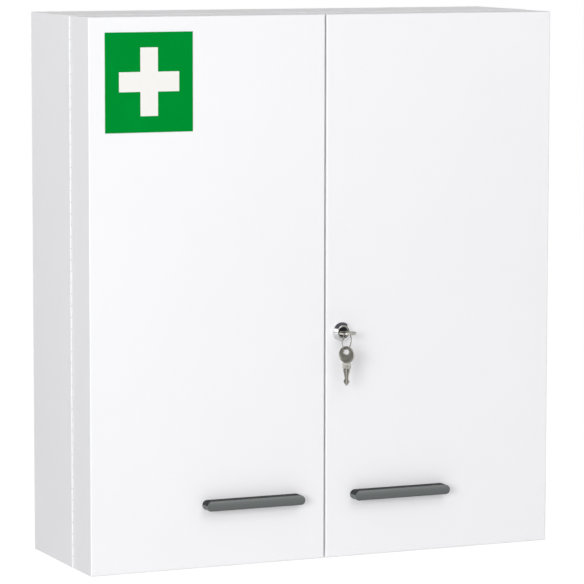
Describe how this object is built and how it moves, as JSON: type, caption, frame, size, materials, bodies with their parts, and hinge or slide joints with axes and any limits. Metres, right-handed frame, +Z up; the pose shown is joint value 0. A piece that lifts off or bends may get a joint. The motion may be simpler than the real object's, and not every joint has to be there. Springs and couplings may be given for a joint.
{
  "type": "medicine cabinet",
  "caption": "Wall-hung steel medicine cabinet with shelves, deep hinged doors with trays, bar handles, a first-aid sign and a cam lock with keys.",
  "frame": {"origin": "centre of the carcass's underside", "axes": "+X to the right as seen from the front, +Y towards the wall, +Z up; the doors face -Y"},
  "size_m": [0.5538, 0.2118, 0.6],
  "materials": {
    "white_steel": "smooth white powder coat",
    "hinge_steel": "white powder coat over rolled steel",
    "hinge_wire": "drawn wire",
    "zinc": "bright zinc plate",
    "grey_plastic": "moulded, fine texture",
    "sign_green": "printed, satin",
    "chrome": "polished",
    "plug_dark": "blackened zinc",
    "key_nickel": "worn nickel plate",
    "ring_steel": "bright wire",
    "magnet_black": "moulded",
    "rubber_grey": "soft"
  },
  "bodies": {
    "cabinet": {"carcass": "white_steel", "front_rail_bottom": "white_steel", "front_rail_top": "white_steel", "back_panel": "white_steel", "shelf_lower": "white_steel", "shelf_middle": "white_steel", "shelf_upper": "white_steel", "left_hinge_carcass_leaf": "hinge_steel", "left_hinge_pin": "hinge_wire", "right_hinge_carcass_leaf": "hinge_steel", "right_hinge_pin": "hinge_wire", "magnet_catches": "magnet_black", "door_bumpers": "rubber_grey"},
    "left_door": {"left_door_front": "white_steel", "left_door_hinge_wall": "white_steel", "left_door_meeting_wall": "white_steel", "left_door_bottom_wall": "white_steel", "left_door_top_wall": "white_steel", "left_door_return_bottom": "white_steel", "left_door_return_top": "white_steel", "left_hinge_door_leaf": "hinge_steel", "left_handle": "grey_plastic", "left_handle_screws": "zinc", "left_strike_plates": "zinc", "left_tray_lower": "white_steel", "left_tray_middle": "white_steel", "left_tray_upper": "white_steel", "sign_plate": "sign_green", "bolt_guides": "white_steel"},
    "door_bolt": {"door_bolt": "zinc"},
    "right_door": {"right_door_front": "white_steel", "right_door_hinge_wall": "white_steel", "right_door_meeting_wall": "white_steel", "right_door_bottom_wall": "white_steel", "right_door_top_wall": "white_steel", "right_door_return_bottom": "white_steel", "right_door_return_top": "white_steel", "right_hinge_door_leaf": "hinge_steel", "right_handle": "grey_plastic", "right_handle_screws": "zinc", "right_strike_plates": "zinc", "right_tray_lower": "white_steel", "right_tray_middle": "white_steel", "right_tray_upper": "white_steel", "lock_housing": "chrome", "lock_nut": "zinc"},
    "lock_plug": {"lock_plug": "plug_dark", "lock_cam": "zinc", "cam_screw": "zinc"},
    "key": {"key": "key_nickel"},
    "key_ring": {"key_ring": "ring_steel"},
    "spare_key": {"spare_key": "key_nickel"}
  },
  "joints": [
    {"name": "left_door_hinge", "type": "hinge", "parent": "cabinet", "child": "left_door", "pos_m": [-0.2752, -0.063, 0.3], "axis": [0, 0, -1], "range_deg": [0, 180]},
    {"name": "right_door_hinge", "type": "hinge", "parent": "cabinet", "child": "right_door", "pos_m": [0.2752, -0.063, 0.3], "axis": [0, 0, 1], "range_deg": [0, 180]},
    {"name": "bolt_slide", "type": "slide", "parent": "left_door", "child": "door_bolt", "axis": [0, 0, 1], "range_m": [0, 0.012]},
    {"name": "lock_turn", "type": "hinge", "parent": "right_door", "child": "lock_plug", "pos_m": [0.0193, -0.119, 0.2516], "axis": [0, 1, 0], "range_deg": [0, 90]},
    {"name": "key_pull", "type": "slide", "parent": "lock_plug", "child": "key", "axis": [0, -1, 0], "range_m": [0, 0.028]},
    {"name": "ring_swing", "type": "hinge", "parent": "key", "child": "key_ring", "pos_m": [0.01506, -0.1424, 0.25366], "axis": [0.8261, 0.5635, 0], "range_deg": [-25, 12]},
    {"name": "spare_key_swing", "type": "hinge", "parent": "key_ring", "child": "spare_key", "pos_m": [0.01506, -0.1424, 0.23466], "axis": [0.8261, 0.5635, 0], "range_deg": [-40, 15]}
  ]
}
